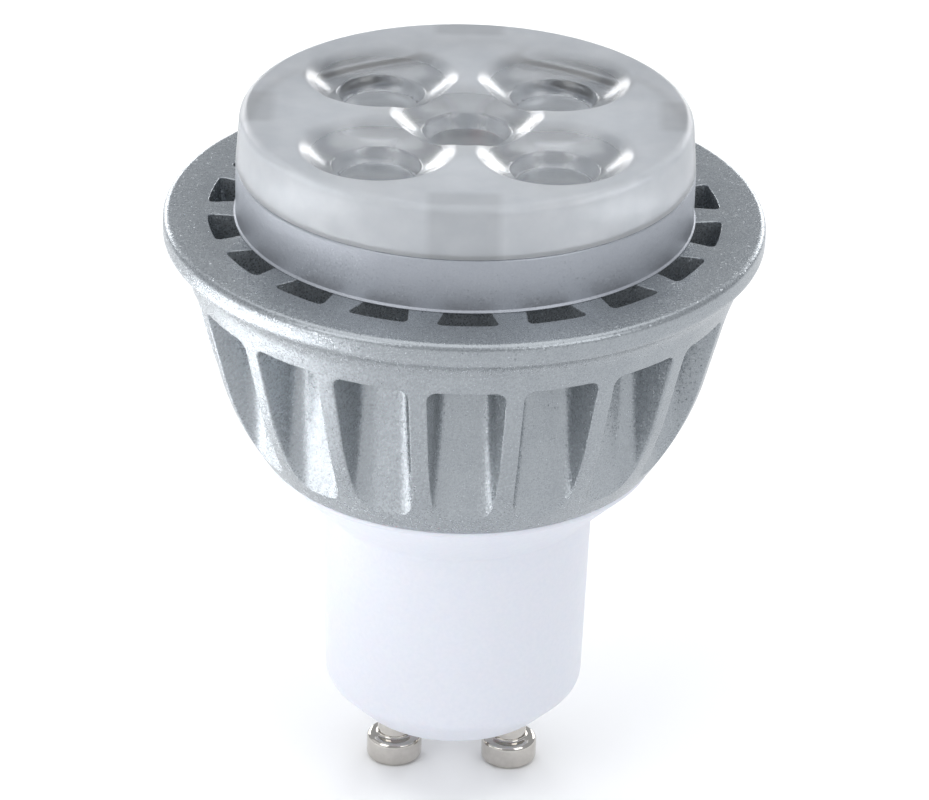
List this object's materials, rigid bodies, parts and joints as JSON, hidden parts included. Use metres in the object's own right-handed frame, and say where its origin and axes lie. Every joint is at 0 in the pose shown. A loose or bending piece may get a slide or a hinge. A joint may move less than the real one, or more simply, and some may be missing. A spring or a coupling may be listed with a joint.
{
  "type": "gu10 spotlight bulb",
  "caption": "LED spotlight bulb: finned silver heat sink with vent slots, clear lens plate with collimator cups, and a white cap with two bayonet pins.",
  "frame": {"origin": "on the bulb's axis, in the plane of the two pin ends", "axes": "+Z along the bulb's axis towards the lens, +X through the two pins, -Y faces the picture's camera"},
  "size_m": [0.05, 0.05, 0.0616],
  "materials": {
    "cast_silver": "satin metallic paint on a die casting",
    "ring_silver": "satin metallic paint on a turned ring",
    "clear_acrylic": "clear moulding with a slightly frosted face",
    "grey_silicone": "matt",
    "white_solder_mask": "satin",
    "screw_steel": "zinc plated",
    "white_polyester": "satin moulding",
    "nickel_plate": "bright nickel plate",
    "green_laminate": "satin",
    "ferrite": "matt",
    "yellow_tape": "polyester tape",
    "capacitor_sleeve": "shrink sleeve",
    "black_epoxy": "matt",
    "resistor_coat": "lacquer",
    "black_sleeve": "shrink sleeve",
    "tinned_wire": "tinned",
    "red_insulation": "satin",
    "black_insulation": "satin",
    "white_package": "matt",
    "yellow_phosphor": "silicone with phosphor"
  },
  "bodies": {
    "root": {"heat_sink": "cast_silver", "lens_ring": "ring_silver", "lens_plate": "clear_acrylic", "thermal_pad": "grey_silicone", "led_board": "white_solder_mask", "board_screws": "screw_steel", "base_shell": "white_polyester", "base_screws": "screw_steel", "pin_left": "nickel_plate", "pin_right": "nickel_plate", "driver_board": "green_laminate", "transformer_core": "ferrite", "transformer_winding": "yellow_tape", "input_capacitor": "capacitor_sleeve", "output_capacitor": "capacitor_sleeve", "bridge_rectifier": "black_epoxy", "driver_chip": "black_epoxy", "fuse_resistor": "resistor_coat", "choke": "black_sleeve", "mains_lead_left": "tinned_wire", "mains_lead_right": "tinned_wire", "led_lead_positive": "red_insulation", "led_lead_negative": "black_insulation", "led_package_1": "white_package", "led_phosphor_1": "yellow_phosphor", "led_package_2": "white_package", "led_phosphor_2": "yellow_phosphor", "led_package_3": "white_package", "led_phosphor_3": "yellow_phosphor", "led_package_4": "white_package", "led_phosphor_4": "yellow_phosphor", "led_package_5": "white_package", "led_phosphor_5": "yellow_phosphor"}
  },
  "joints": []
}
